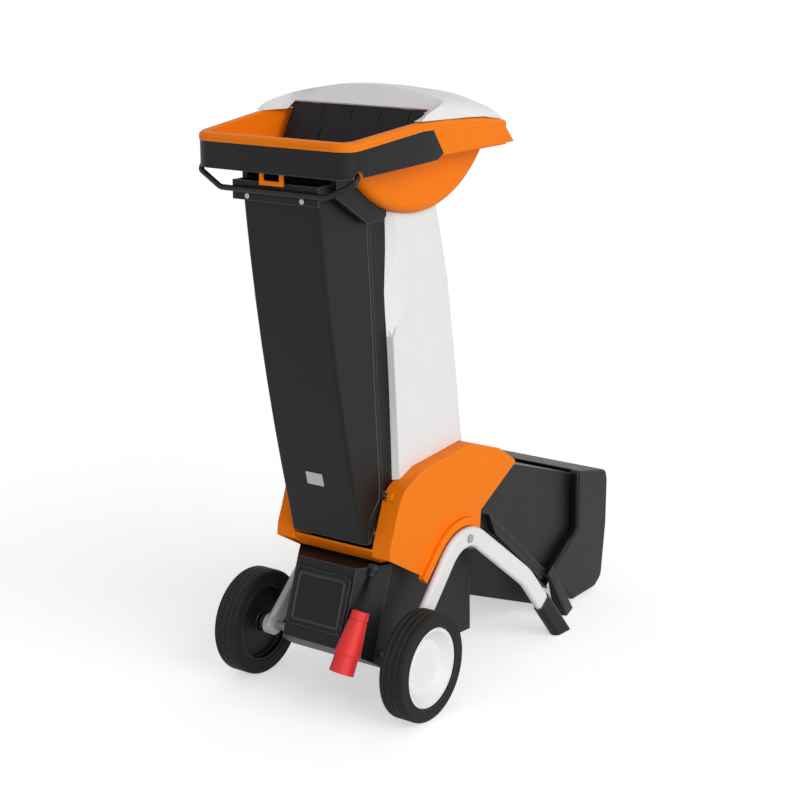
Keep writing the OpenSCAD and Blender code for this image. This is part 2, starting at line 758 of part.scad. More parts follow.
module chamber_ring() {
    opening_y = 70;
    ring_wall = 4;
    color("#3a3c3b") place() along_motor() difference() {
        hoop(ring_r + ring_wall, ring_r, floor_top, floor_top + ring_h);
        translate([-big / 2, opening_y, floor_top - 1]) cube([big, big, big]);
    }
}

module counter_blade() {
    color(steel) place() along_motor() translate([1.8 - ring_r, -20, floor_top])
        cube([ring_gap - 6, 40, floor_drop + knife_t + 12]);
}

module cutting_disc() {
    hub_low = floor_top + 6;
    color(steel) place() along_motor() difference() {
        union() {
            disc(disc_d / 2, -disc_t, 0);
            disc(shaft_d, hub_low, -disc_t + 1);
        }
        disc(bore_r, hub_low - 1, 1);
        for (s = [0, 180]) rotate(s) translate([30, -knife_w / 2 - 12, -disc_t - 1])
            cube([disc_d / 2 - 46, 12, disc_t + 2]);
    }
}

module disc_knives() {
    color("#c5c8ca") place() along_motor() for (s = [0, 180]) rotate(s)
        translate([30, -knife_w / 2, 0]) cube([disc_d / 2 - 40, knife_w, knife_t]);
}

module wing_knife() {
    color("#c5c8ca") place() along_motor() difference() {
        translate([-26, -26, 0]) union() {
            cube([52, 52, knife_t]);
            cube([knife_t, 52, 26]);
            translate([52 - knife_t, 0, 0]) cube([knife_t, 52, 26]);
        }
        disc(shaft_d / 4 + 0.5, -1, knife_t + 1);
    }
}

module disc_bolt() {
    color(steel) place() along_motor() {
        disc(shaft_d / 4, 1, knife_t + seat_gap + 1);
        disc(shaft_d / 2, knife_t + seat_gap, knife_t + seat_gap + 9);
    }
}

// Motor

module motor_sleeve() {
    flange = 14;
    color("#8c9093") place() along_motor() {
        hoop(stator_d / 2 + sleeve_wall, stator_d / 2 + pin_gap, lower_shield, floor_low - seat_gap);
        hoop(stator_d / 2 + flange, stator_d / 2 + pin_gap, floor_low - 6, floor_low - seat_gap);
    }
}

module motor_stator() {
    color("#777b7d") place() along_motor() hoop(stator_d / 2, rotor_d / 2 + 0.6, stator_low, stator_top);
}

module motor_windings() {
    color("#b5652b") place() along_motor() for (z = [stator_top, stator_low - winding_h])
        hoop(stator_d / 2 - 4, rotor_d / 2 + 8, z, z + winding_h);
}

module end_shield(low) {
    along_motor() difference() {
        disc(stator_d / 2, low, low + shield_t);
        disc(bearing_d / 2 + pin_gap, low - 1, low + shield_t + 1);
    }
}

module bearing(low) {
    middle = low + shield_t / 2;
    along_motor() hoop(bearing_d / 2, bore_r, middle - bearing_w / 2, middle + bearing_w / 2);
}

module end_shield_upper() { color("#8c9093") place() end_shield(upper_shield); }
module end_shield_lower() { color("#8c9093") place() end_shield(lower_shield); }
module bearing_upper() { color(steel) place() bearing(upper_shield); }
module bearing_lower() { color(steel) place() bearing(lower_shield); }

module motor_shaft() {
    color(steel) place() along_motor() difference() {
        disc(shaft_d / 2, shaft_low, -pin_gap);
        disc(shaft_d / 4 + pin_gap, -20, 1);
    }
}

module motor_rotor() {
    color("#6d7072") place() along_motor() hoop(rotor_d / 2, bore_r, stator_low, stator_top);
}

module cooling_fan() {
    fan_top = lower_shield - 4;
    fan_h = 16;
    color("#3a3c3b") place() along_motor() difference() {
        union() {
            disc(shaft_d / 2 + 8, fan_top - fan_h, fan_top);
            disc(fan_d / 2, fan_top - 3, fan_top);
            for (k = [1 : fan_blades]) rotate(360 * k / fan_blades)
                translate([shaft_d / 2 + 4, -1.5, fan_top - fan_h])
                    cube([fan_d / 2 - shaft_d / 2 - 6, 3, fan_h]);
        }
        disc(bore_r, shaft_low - 20, fan_top + 1);
    }
}

// Discharge

// Flat plate between two points of the side view, from x0 to x1
module plate(p, q, x0, x1) { slab(x0, x1) polygon([p - [0, wall], q - [0, wall], q, p]); }

module discharge_chute() {
    strip_x = duct_x + 4;
    rail_x = duct_x + 16;
    ear_x = base_x - wall - seat_gap;
    seal_x = hood_x - wall - seat_gap;
    rail = [[385, 358], [418, 297], [640, 114], [655, 134.6]];
    color(black) place() difference() {
        union() {
            plate(duct_upper[0], duct_upper[4], -duct_x, duct_x);
            plate(duct_lower[0], duct_lower[1], -apron_x, apron_x);
            both_sides() {
                slab(duct_x - wall, duct_x) polygon(duct_upper);
                slab(apron_x - wall, apron_x) polygon(duct_lower);
                plate(duct_upper[1], duct_upper[2], apron_x - wall, strip_x);
                slab(duct_x - 1, rail_x) polygon(rail);
                slab(duct_x - 1, ear_x) polygon([[438, 466], [432, 420], [498, 451], [494, 458]]);
                slab(duct_x - 1, seal_x) polygon([[797, 352], [803, 204], [809, 204], [803, 352]]);
                slab(duct_x - 1, seal_x) polygon([[764, 182], [659, 118.5], [662, 113.5], [767, 177]]);
            }
        }
        along_motor() translate([-big / 2, -big / 2, -big / 2])
            cube([big, big / 2 + floor_half + seat_gap, big]);
    }
}

module discharge_hood() {
    corner_r = 26;
    plan = rounded([[-hood_x, 500], [hood_x, 500], [hood_x, hood_rear_y], [-hood_x, hood_rear_y]],
        [0, 0, corner_r, corner_r]);
    root = hood_x - 3;
    skirt = [[[root, 690, 2], [root + 32, 704, 2], [root + 18, 759, 2], [root, 775, 2]],
        [[root, 650, 125], [root + 3, 651, 125], [root + 3, 673, 143], [root, 674, 143]]];
    color(black) place() both_sides() loft(skirt);
    color(black) place() difference() {
        intersection() {
            slab(-hood_x, hood_x) polygon(hood_outline);
            linear_extrude(big / 2) polygon(plan);
        }
        intersection() {
            union() {
                for (move = [[0, 0, 0], [0, -30, 6.5], [0, -10, -40]])
                    translate(move) slab(wall - hood_x, hood_x - wall) polygon(inset(hood_outline, wall));
            }
            translate([0, 0, -big / 4]) linear_extrude(big) polygon(inset(plan, wall));
        }
    }
}

// Switch

switch_y = [236, 306];
switch_z = [430, 506];
switch_out = 34;
button_z = [488, 452];

module switch_box() {
    color(black) place() difference() {
        translate([-base_x - switch_out, switch_y[0], switch_z[0]])
            cube([switch_out - seat_gap, switch_y[1] - switch_y[0], switch_z[1] - switch_z[0]]);
        translate([3 - base_x - switch_out, switch_y[0] + 3, switch_z[0] + 3])
            cube([switch_out - 6 - seat_gap, switch_y[1] - switch_y[0] - 6, switch_z[1] - switch_z[0] - 6]);
        for (z = button_z)
            pin(13.4, -base_x - switch_out - 1, -base_x - switch_out + 4, (switch_y[0] + switch_y[1]) / 2, z);
    }
}

module button(z) {
    face_x = -base_x - switch_out;
    y = (switch_y[0] + switch_y[1]) / 2;
    pin(13, face_x - 5, face_x + 6, y, z);
    pin(15, face_x + 3.3, face_x + 6, y, z);
}

module start_button() { color("#2f8f46") place() button(button_z[0]); }
module stop_button() { color("#c8322b") place() button(button_z[1]); }

// Mains lead

module cable_gland() {
    color(black) place() difference() {
        union() {
            bar(gland_root, cord_route[0], 11, 8.5);
            bar(gland_root, gland_root + unit(cord_route[0] - gland_root) * 7, 14, 14);
        }
        motor_shell(-seat_gap);
        bar(gland_root, cord_route[0] + unit(cord_route[0] - gland_root) * 2, cord_d / 2 - 1, cord_d / 2 - 1);
    }
}

module mains_cord() {
    color("#1d1e1e") place() rod([for (i = [0 : 2 : len(cord_route) - 1]) cord_route[i]], cord_d / 2, 10);
}

// Upright axis down along the plug from the cord's end
module along_plug() {
    d = plug_end - cord_route[len(cord_route) - 1];
    translate(cord_route[len(cord_route) - 1]) rotate([0, acos(d[2] / norm(d)), atan2(d[1], d[0])])
        translate([0, 0, plug_start]) children();
}

module mains_plug() {
    shroud = plug_d / 2;
    color("#f04641") place() along_plug() difference() {
        rotate_extrude() polygon([[0, 0], [11, 0], [13, 10], [18, 14], [18, 26], [shroud - 6, 34],
            [shroud - 5, 84], [shroud - 1, 88], [shroud, 96], [shroud, plug_len], [0, plug_len]]);
        disc(shroud - 4, plug_len - pin_room, plug_len + 1);
    }
}

module plug_pins() {
    circle_r = 14;
    color("#c9b37a") place() along_plug() for (k = [0 : 4]) rotate(72 * k)
        translate([circle_r, 0, plug_len - pin_room]) cylinder(r = k == 0 ? 3 : 2.5, h = pin_room - 6);
}

// Chute

// Room for the drum at the chute's top
module saddle_room() { pin(saddle_r, -drum_x, drum_x, drum_y, drum_z); }

// Front edge of the raised band on the chute's sides, and how far it stands out
rib_line = [[413, -34], [443, -11], [481, 19], [504, 23], [598, 16], [759, 2], [827, -1], [1101, -23]];
rib_w = 11;
rib_out = [[440, 0.15], [480, 1.2]];

// Closed ring of the black front wall at a height
function front_ring(z) =
    let (f = panel_y(z), b = max(lookup(z, black_rear), f + 14), r = 8,
        y1 = max(lookup(z, rib_line), f + 9), y2 = min(max(lookup(z, rib_line) + rib_w, y1 + 2), b - 1.5),
        lean_x = (black_x - panel_x) / (b - f), x1 = panel_x + (y1 - f) * lean_x,
        x2 = panel_x + (y2 - f) * lean_x,
        h = lookup(z, rib_out), rib = [[x1, y1], [x1 + h, y1 + 0.4], [x2 + h, y2 - 0.4], [x2, y2]],
        outer = concat([[-black_x, b]], [for (i = [3 : -1 : 0]) [-rib[i][0], rib[i][1]]],
            corner([-black_x, b], [-panel_x, f], [panel_x, f], r, 4),
            corner([-panel_x, f], [panel_x, f], [black_x, b], r, 4), rib, [[black_x, b]]),
        g = f + wall, px = panel_x - wall, bx = black_x - wall,
        rib_in = [for (p = rib) [px + (p[1] - f) * lean_x, p[1]]],
        inner = concat([[bx, b]], [for (i = [3 : -1 : 0]) rib_in[i]],
            corner([bx, b], [px, g], [-px, g], r - wall, 4),
            corner([px, g], [-px, g], [-bx, b], r - wall, 4), [for (p = rib_in) [-p[0], p[1]]], [[-bx, b]]))
    [for (p = concat(outer, inner)) [p[0], p[1], z]];

front_heights = [chute_foot_z, 420, 445, 480, 505, 560, 640, 740, 840, 940, 1040, 1120, panel_top_z];

module chute_front() {
    color(black) place() difference() {
        union() {
            loft_wall([for (z = front_heights) front_ring(z)]);
            both_sides() pin(pin_d / 2 + 7, black_x - 10, black_x + 0.8, pin_y, pin_z);
        }
        both_sides() pin(pin_d / 2 + pin_gap, 0, big, pin_y, pin_z);
        saddle_room();
    }
}

// Height of the drum's clearance line over a place
function saddle_z(y) = drum_z - sqrt(saddle_r * saddle_r - (y - drum_y) * (y - drum_y));

// Right side of the rear cover at a height, from its rear corner to its front edge, d inside the outer face
function cover_side(z, d) =
    let (f = lookup(z, black_rear), b = lookup(z, white_rear) - d, w = white_x - d,
        s = f + max(lookup(z, white_front) - f, 2) + d, r = white_r - d)
    concat(corner([0, b], [w, b], [w, f], r, 6), [for (k = [1 : 5]) [w, b - r + (s - b + r) * k / 5]],
        [[black_x + 1, f + d]]);

// Height of the rear cover's foot over a place on the base housing
function cover_foot_z(y) = lookup(y, [for (i = [11 : -1 : 6]) base_points[i]]) + base_gap;

// Closed ring of the rear cover at a height; the end rings follow the drum and the base housing
function rear_ring(z, end = "none") =
    let (outer = cover_side(z, 0), inner = cover_side(z, wall), n = len(outer),
        ring = concat([for (i = [n - 1 : -1 : 0]) outer[i]], [for (p = outer) [-p[0], p[1]]],
            [for (i = [n - 1 : -1 : 0]) [-inner[i][0], inner[i][1]]], inner))
    [for (p = ring) [p[0], p[1], end == "top" ? saddle_z(p[1]) : end == "foot" ? cover_foot_z(p[1]) : z]];

rear_heights = [612, 749, 846, 870, 902, 948, 1037, 1090];
rear_foot_z = 530;
rear_top_z = 1122;

// Hinge lug for the hopper, rooted in the rear cover's wall
module lug(x0, x1) {
    low_z = hinge_z - 34;
    top_z = hinge_z + 6;
    pin(hinge_d / 2 + 5, x0, x1, hinge_y, hinge_z);
    slab(x0, x1) polygon([[lookup(low_z, white_rear) - wall / 2, low_z], [hinge_y + 4, hinge_z - 8],
        [hinge_y, top_z], [lookup(top_z, white_rear) - wall / 2, top_z]]);
}

// Axis of the lock knob, square to the base housing's top behind the cover
lock_at = [0, 384, 531];
module lock_axis() { translate(lock_at) rotate([-16, 0, 0]) children(); }
lock_lug_t = 6;

module chute_rear() {
    color(white) place() difference() {
        union() {
            loft_wall(concat([rear_ring(rear_foot_z, "foot")], [for (z = rear_heights) rear_ring(z)],
                [rear_ring(rear_top_z, "top")]));
            both_sides() lug(30, 48);
            lock_axis() translate([-24, -35, base_gap]) cube([48, 53, lock_lug_t]);
        }
        both_sides() pin(hinge_d / 2 + pin_gap, 0, big, hinge_y, hinge_z);
        lock_axis() disc(5 + pin_gap, -1, 20);
    }
}

module chute_saddle() {
    x0 = black_x + 1.2;
    x1 = white_x;
    color(black) place() both_sides() difference() {
        slab(x0, x1) polygon([[-150, 1174], [-44, 1108], [14, 1108], [24, 1116], [24, 1180], [-100, 1215],
            [-150, 1215]]);
        saddle_room();
        translate([0, tray_front_y - 10, tray_low_z - seat_gap])
            cube([tray_x + seat_gap, tray_len + 10 + seat_gap, big]);
    }
}

module storage_tray() {
    apron_low = bolt_z - 9;
    color(black) place() difference() {
        union() {
            difference() {
                translate([-tray_x, tray_front_y, tray_low_z]) cube([2 * tray_x, tray_len, tray_h]);
                translate([wall - tray_x, tray_front_y + wall, tray_low_z + wall])
                    cube([2 * (tray_x - wall), tray_len - 2 * wall, tray_h]);
            }
            translate([-tray_x - 2, apron_y, apron_low])
                cube([2 * tray_x + 4, wall, tray_low_z + tray_h - apron_low]);
        }
        both_sides() handle_bolt_axis() cylinder(d = 8 + 2 * pin_gap, h = 60, center = true);
        translate([-22, apron_y - 1, tray_low_z + tray_h - 10]) cube([44, 2 * wall, 20]);
        saddle_room();
    }
}

module handle_bolt_axis() {
    translate([handle_bolt_x, apron_y - seat_gap, bolt_z]) rotate([90, 0, 0]) children();
}

module handle_bolts() {
    shank = panel_y(bolt_z) - apron_y;
    color("#c9cccd") place() both_sides() handle_bolt_axis() {
        translate([0, 0, 3 - shank]) cylinder(d = 8, h = shank - 2);
        cylinder(r = 6, h = 3);
    }
}

module carry_handle() { color("#1f2020") place() rod(softened(rod_route, 7), rod_d / 2); }

module rating_plate() {
    plate_z = 533;
    slope = atan((panel_y(plate_z + 15) - panel_y(plate_z - 15)) / 30);
    color("#a5a8aa") place() translate([-5, panel_y(plate_z) - 0.6, plate_z]) rotate([-slope, 0, 0])
        cube([46, 0.8, 31], center = true);
}

module hopper_hinge_pin() { color(steel) place() pin(hinge_d / 2, -50, 50, hinge_y, hinge_z); }

module lock_knob() {
    low = base_gap + lock_lug_t + seat_gap;
    color(black) place() lock_axis() {
        disc(5, -5, low + 1);
        difference() {
            disc(knob_d / 2, low, low + 20);
            for (a = [0 : 60 : 300]) rotate(a) translate([knob_d / 2 + 4, 0, low - 1])
                cylinder(r = 8, h = 30);
        }
    }
}

// Hopper

module hopper_bowl() {
    drum_edge = 22;
    shell = wall;
    rim_section = [low_ring(shell, ledge_z - shell), neck_ring(shell, -rim_lap - 4),
        rim_ring(band_in, -rim_lap), rim_ring(rim_out_d, -rim_lap), rim_ring(rim_out_d, -6),
        rim_ring(rim_out_d - 4, -1.5),
        rim_ring(5, 0.5), rim_ring(0, -1), low_ring(0, ledge_z - shell)];
    skin = [low_ring(band_out, flange_z), rim_ring(band_out, -rim_lap + 3),
        rim_ring(band_in - 0.5, -rim_lap + 3), low_ring(band_in - 0.5, flange_z)];
    skin_room = [[flange_y + 0.5, band_low_z], [flange_y + 0.5, band_low_z + 26],
        [flange_y - 68, band_low_z + 118], [big / 4, band_low_z + 118], [big / 4, band_low_z]];
    color(orange) place() difference() {
        union() {
            loft_hoop(rim_section);
            intersection() {
                loft_hoop(skin);
                slab(-big / 4, big / 4) polygon(skin_room);
            }
            translate([0, 0, ledge_z - shell + 0.5]) linear_extrude(shell)
                polygon(hopper_plan(shell / 2, rear_low_y - 2));
            intersection() {
                translate([0, 0, flange_z + 0.2]) linear_extrude(1.8) difference() {
                    polygon(hopper_plan(band_in, rear_low_y));
                    polygon(hopper_plan(1, rear_low_y - 5));
                }
                translate([-big / 2, flange_y + 2, 0]) cube(big);
            }
            drum_solid(0, drum_edge);
            both_sides() translate([latch_x + 4, bowl_front_y - band_in + seat_gap, latch_z - 8])
                cube([4, band_in - 1, 36]);
            slab(-28, 28) polygon([[hinge_y - 9, hinge_z], [hinge_y + 9, hinge_z],
                [hinge_y + 14, hinge_z + 36], [hinge_y - 12, hinge_z + 26]]);
            pin(hinge_d / 2 + 5, -28, 28, hinge_y, hinge_z);
        }
        drum_solid(shell, drum_edge - shell);
        translate([feed_hole[0][0], feed_hole[0][1], 0])
            cube([feed_hole[1][0] - feed_hole[0][0], feed_hole[1][1] - feed_hole[0][1], ledge_z]);
        pin(hinge_d / 2 + pin_gap, -big, big, hinge_y, hinge_z);
        pin(latch_pin_d / 2 + pin_gap, -big, big, latch_y, latch_z);
    }
}

// Drum under the bowl, smaller all round by d, up to the ledge
module drum_solid(d, edge) {
    half = drum_x - d;
    intersection() {
        translate([0, drum_y, drum_z]) rotate([0, 90, 0]) rotate_extrude($fn = 180) polygon(rounded(
            [[0, -half], [drum_r - d, -half], [drum_r - d, half], [0, half]], [0, edge, edge, 0]));
        translate([-big / 2, -big / 2, drum_low_z - 50])
            cube([big, big, ledge_z - drum_low_z + 50 + (d > 0 ? 1 : 0)]);
    }
}

module hopper_band() {
    front = bowl_front_y - band_out - 10;
    low_z = band_low_z;
    notch_r = 13;
    notch_y = rod_route[1][1] + 2;
    top = -rim_lap - seat_gap;
    end_y = flange_y - 40;
    side = [[front, low_z], [flange_y - 22, low_z + 14], [flange_y - 1, low_z + 26],
        [end_y, lookup(end_y, rim_heights) + top], [flare_y, rim_side_z + top],
        [bowl_front_y, rim_front_z + top], [front, rim_front_z + top]];
    color(black) place() difference() {
        intersection() {
            slab(-big / 4, big / 4) polygon(side);
            linear_extrude(big) difference() {
                polygon(hopper_plan(band_out, rear_low_y));
                polygon(hopper_plan(band_in, rear_low_y));
            }
        }
        both_sides() pin(notch_r, bowl_x - 14, big, notch_y, low_z + 3);
        both_sides() translate([bowl_x - 14, notch_y - notch_r, low_z - 20]) cube([60, 2 * notch_r, 23]);
    }
}

module hopper_hood() {
    steps = [for (k = [0 : 6]) 1 - k / 6];
    edge = wall_ring(
        mirrored(concat([for (p = wing_edge) [p[0], p[1], seat_z(p[1])]],
            [for (t = steps) [lens_x * t, curtain_y + 2, curtain_z + 1 - wall]])),
        mirrored(concat([for (p = wing_edge) [p[0], p[1], seat_z(p[1]) + p[2]]],
            [for (t = steps) [lens_x * t, curtain_y, curtain_z + 1]])));
    top = wall_ring(
        mirrored(concat([for (p = wing_top) [p[0] - wall, p[1] + 2, seat_z(p[1] + 2)]],
            [for (t = steps) ridge(t) + [-wall * t, 2, -wall]])),
        mirrored(concat([for (p = wing_top) [p[0], p[1], seat_z(p[1]) + p[2]]], [for (t = steps) ridge(t)])));
    rings = [for (s = hood_stations)
        let (low = seat_z(s[0]))
        wall_ring(arch(s[0], s[2] - wall, low, s[1] - wall), arch(s[0], s[2], low, s[1]))];
    color(white) place() loft_wall(concat([edge, top], rings));
}

module curtain_bar() {
    half = lens_x - 44;
    color(steel) place() translate([-half, curtain_y + 5, curtain_z - 11]) cube([2 * half, 6, 10]);
}

module feed_curtain() {
    ledge_clear = 1.5;
    drop = curtain_z - 4 - ledge_z - ledge_clear;
    half = lens_x - 2;
    slit_w = 2;
    lean_out = 31;
    shoulder = [half - 16, 8];
    outline = [[-half, -drop], [half, -drop], [half, -shoulder[1]], [shoulder[0], 0], [-shoulder[0], 0],
        [-half, -shoulder[1]]];
    color("#1e1f1f") place() translate([0, curtain_y, curtain_z - 4]) rotate([-lean_out, 0, 0]) {
        difference() {
            rotate([90, 0, 0]) translate([0, 0, -curtain_t / 2]) linear_extrude(curtain_t) polygon(outline);
            for (x = [-92, -15, 60, 136]) translate([x - slit_w / 2, -curtain_t, -32])
                cube([slit_w, 2 * curtain_t, 26]);
            for (x = [-82, 82]) translate([x - slit_w / 2, -curtain_t, -drop - 1])
                cube([slit_w, 2 * curtain_t, 36]);
        }
        pin(curtain_t / 2 + 0.5, -105, 105, 0, 0);
    }
}

module latch_pin() { color(steel) place() pin(latch_pin_d / 2, -latch_x - 8, latch_x + 8, latch_y, latch_z); }

module hopper_latch() {
    foot_z = tray_low_z + tray_h - 4;
    prong = 8;
    depth = 7;
    color(orange) place() difference() {
        union() {
            both_sides() {
                pin(latch_pin_d / 2 + 2.2, latch_x - prong, latch_x, latch_y, latch_z);
                slab(latch_x - prong, latch_x) polygon([[latch_y - 3, latch_z], [latch_y + 3, latch_z],
                    [latch_y + 3.5, foot_z], [latch_y - 3.5, foot_z]]);
            }
            translate([-latch_x, latch_y - 4, foot_z]) cube([2 * latch_x, 8, 9]);
            translate([-18, latch_y + 3, foot_z + 1]) cube([36, depth, 5]);
        }
        pin(latch_pin_d / 2 + pin_gap, -big, big, latch_y, latch_z);
    }
}

base_housing();
motor_housing();
front_cover();
cover_screws();
chamber_floor();
chamber_ring();
counter_blade();
discharge_chute();
discharge_hood();
frame_tube_left();
frame_tube_right();
foot_left();
foot_right();
axle();
axle_washers();
frame_bolts();
chute_pins();
motor_sleeve();
motor_stator();
motor_windings();
end_shield_upper();
end_shield_lower();
bearing_upper();
bearing_lower();
switch_box();
cable_gland();
mains_cord();
mains_plug();
plug_pins();
motor_shaft();
motor_rotor();
cooling_fan();
cutting_disc();
disc_knives();
wing_knife();
disc_bolt();
chute_front();
chute_rear();
chute_saddle();
storage_tray();
carry_handle();
handle_bolts();
rating_plate();
hopper_hinge_pin();
lock_knob();
hopper_bowl();
hopper_band();
hopper_hood();
curtain_bar();
latch_pin();
hopper_latch();
feed_curtain();
tyre_left();
tyre_right();
rim_left();
rim_right();
hub_cap_left();
hub_cap_right();
start_button();
stop_button();
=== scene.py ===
import json
import math

import bmesh
import bpy
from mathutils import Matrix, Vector


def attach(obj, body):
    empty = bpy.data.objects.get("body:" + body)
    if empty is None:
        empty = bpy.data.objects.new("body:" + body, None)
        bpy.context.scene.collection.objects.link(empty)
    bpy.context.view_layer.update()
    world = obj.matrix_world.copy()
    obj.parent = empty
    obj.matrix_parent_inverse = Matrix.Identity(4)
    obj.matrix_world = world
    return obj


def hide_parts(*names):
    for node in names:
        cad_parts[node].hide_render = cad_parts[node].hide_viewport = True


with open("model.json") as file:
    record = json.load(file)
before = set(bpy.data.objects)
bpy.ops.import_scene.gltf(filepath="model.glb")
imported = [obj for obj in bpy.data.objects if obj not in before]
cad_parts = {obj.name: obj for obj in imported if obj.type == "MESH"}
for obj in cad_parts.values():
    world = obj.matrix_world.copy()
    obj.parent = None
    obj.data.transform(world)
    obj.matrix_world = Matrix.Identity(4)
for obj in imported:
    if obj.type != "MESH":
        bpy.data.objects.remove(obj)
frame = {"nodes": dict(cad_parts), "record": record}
nodes = frame["nodes"]
scene = bpy.context.scene

# Distance of the row's origin behind the wheel axle, in millimetres
MIDDLE = 369.75


def spot(x, y, z):
    """Point in the row frame, from millimetres measured at the wheel axle and the floor."""
    return Vector((x, y - MIDDLE, z)) / 1000


def put(name, data):
    """New object in the scene."""
    made = bpy.data.objects.new(name, data)
    scene.collection.objects.link(made)
    return made


# Camera, fitted to the photo: place, lens and sensor in millimetres, downward tilt and turn in degrees
CAMERA_LENS = 80
CAMERA_SENSOR = 36
CAMERA_PLACE = (2284.4, -3021.9, 1721.5)
CAMERA_TILT = 15.124
CAMERA_TURN = 34.905
camera_data = bpy.data.cameras.new("camera")
camera_data.lens = CAMERA_LENS
camera_data.sensor_width = CAMERA_SENSOR
camera = put("camera", camera_data)
camera.location = spot(*CAMERA_PLACE)
camera.rotation_euler = (math.radians(90 - CAMERA_TILT), 0, math.radians(CAMERA_TURN))
scene.camera = camera


# Shader nodes
def feed(tree, node, inputs):
    """Inputs of a node, each set to a value or linked to the output of another node."""
    for name, value in inputs.items():
        if isinstance(value, bpy.types.NodeSocket):
            tree.links.new(value, node.inputs[name])
        else:
            node.inputs[name].default_value = value


def add_node(tree, kind, inputs, **settings):
    """New shader node with its settings and its inputs."""
    made = tree.nodes.new("ShaderNode" + kind)
    for name, value in settings.items():
        setattr(made, name, value)
    feed(tree, made, inputs)
    return made


# Materials: scales per metre, lengths in metres, and cosines of the bends between which an edge gets a
# painted highlight
PATCH_SCALE = 14
GLOSS_SPREAD = 0.06
BRUSH_STRETCH = 40
GRAIN_SCALE = 900
GRAIN_DEPTH = 0.0003
HIGHLIGHT_RADIUS = 0.002
HIGHLIGHT_FROM = 0.995
HIGHLIGHT_TO = 0.95


def painted_edge_highlights(tree, color, edge_highlight):
    """Colour that turns to a lighter, painted highlight colour where the surface bends within the edge
    radius set above.
    """
    rounded_edge = add_node(tree, "Bevel", {"Radius": HIGHLIGHT_RADIUS})
    surface = add_node(tree, "NewGeometry", {})
    bend = add_node(tree, "VectorMath", {0: rounded_edge.outputs["Normal"], 1: surface.outputs["Normal"]},
        operation="DOT_PRODUCT")
    edges = add_node(tree, "MapRange",
        {"From Min": HIGHLIGHT_FROM, "From Max": HIGHLIGHT_TO, "Value": bend.outputs["Value"]})
    painted_highlight = add_node(tree, "Mix", {"A": color, "B": (*edge_highlight, 1), "Factor": edges.outputs["Result"]},
        data_type="RGBA")
    return painted_highlight.outputs["Result"]


def material(name, color, roughness, metallic=0.0, shine=0.5, grain=0.0, mottle=0.03, edge_highlight=None,
        brushed=False):
    """Surface with mottled colour, uneven gloss, moulded grain and, where an edge highlight colour is
    given, painted highlights on its edges.
    """
    made = bpy.data.materials.new(name)
    made.use_nodes = True
    tree = made.node_tree
    shader = tree.nodes["Principled BSDF"]
    feed(tree, shader, {"Metallic": metallic, "Specular IOR Level": shine})

    place = add_node(tree, "TexCoord", {})
    stretch = add_node(tree, "Mapping",
        {"Vector": place.outputs["Object"], "Scale": (1, 1, BRUSH_STRETCH if brushed else 1)})
    patches = add_node(tree, "TexNoise", {"Scale": PATCH_SCALE, "Vector": stretch.outputs["Vector"]})
    darker = (*[c * (1 - mottle) for c in color], 1)
    lighter = (*[min(c * (1 + mottle), 1) for c in color], 1)
    mix = patches.outputs["Fac"]
    tint = add_node(tree, "Mix", {"A": darker, "B": lighter, "Factor": mix}, data_type="RGBA")
    gloss = add_node(tree, "MapRange",
        {"To Min": roughness - GLOSS_SPREAD, "To Max": roughness + GLOSS_SPREAD, "Value": mix})
    shown = tint.outputs["Result"]
    # Painted highlights along the edges, lighter than the surface
    if edge_highlight:
        shown = painted_edge_highlights(tree, shown, edge_highlight)
    feed(tree, shader, {"Base Color": shown, "Roughness": gloss.outputs["Result"]})

    if grain:
        noise = add_node(tree, "TexNoise", {"Scale": GRAIN_SCALE, "Vector": stretch.outputs["Vector"]})
        bump = add_node(tree, "Bump",
            {"Strength": grain, "Distance": GRAIN_DEPTH, "Height": noise.outputs["Fac"]})
        feed(tree, shader, {"Normal": bump.outputs["Normal"]})
    return made


# Each edge colour below is a painted highlight, lighter than the surface, put along the edges where light
# would catch them
finish_settings = {
    "orange_plastic": dict(color=(0.92, 0.205, 0.003), roughness=0.5, shine=0.12, grain=0.06,
        edge_highlight=(0.95, 0.3, 0.02)),
    "black_plastic": dict(color=(0.0055, 0.006, 0.0058), roughness=0.45, shine=0.22, grain=0.15, mottle=0.1,
        edge_highlight=(0.13, 0.133, 0.131)),
    "white_plastic": dict(color=(0.8, 0.8, 0.8), roughness=0.4, shine=0.3),
    "white_paint": dict(color=(0.77, 0.77, 0.77), roughness=0.4, shine=0.3),
    "black_paint": dict(color=(0.004, 0.004, 0.004), roughness=0.35, shine=0.3),
    "tyre_rubber": dict(color=(0.013, 0.0135, 0.013), roughness=0.65, shine=0.15, grain=0.2, mottle=0.1,
        edge_highlight=(0.07, 0.07, 0.07)),
    "soft_rubber": dict(color=(0.006, 0.006, 0.006), roughness=0.6, shine=0.2),
    "steel": dict(color=(0.4, 0.405, 0.41), roughness=0.45, metallic=1.0, brushed=True),
    "knife_steel": dict(color=(0.62, 0.63, 0.64), roughness=0.25, metallic=1.0),
    "cast_aluminium": dict(color=(0.5, 0.51, 0.52), roughness=0.45, metallic=1.0),
    "winding_copper": dict(color=(0.5, 0.2, 0.07), roughness=0.4, metallic=1.0),
    "contact_brass": dict(color=(0.7, 0.55, 0.25), roughness=0.3, metallic=1.0),
    "red_plastic": dict(color=(0.8, 0.04, 0.035), roughness=0.4, shine=0.25),
    "green_button": dict(color=(0.03, 0.28, 0.07), roughness=0.35),
    "red_button": dict(color=(0.6, 0.03, 0.02), roughness=0.35),
}
finishes = {name: material(name, **settings) for name, settings in finish_settings.items()}
slots = {part["node"]: part["material_slot"] for part in frame["record"]["subparts"]}


def dress(obj, finish):
    """Object finished all over by one material."""
    obj.data.materials.clear()
    obj.data.materials.append(finishes[finish])


# Modifiers
def modify(obj, name, kind, **settings):
    """Object with one more modifier."""
    made = obj.modifiers.new(name, kind)
    for key, value in settings.items():
        setattr(made, key, value)


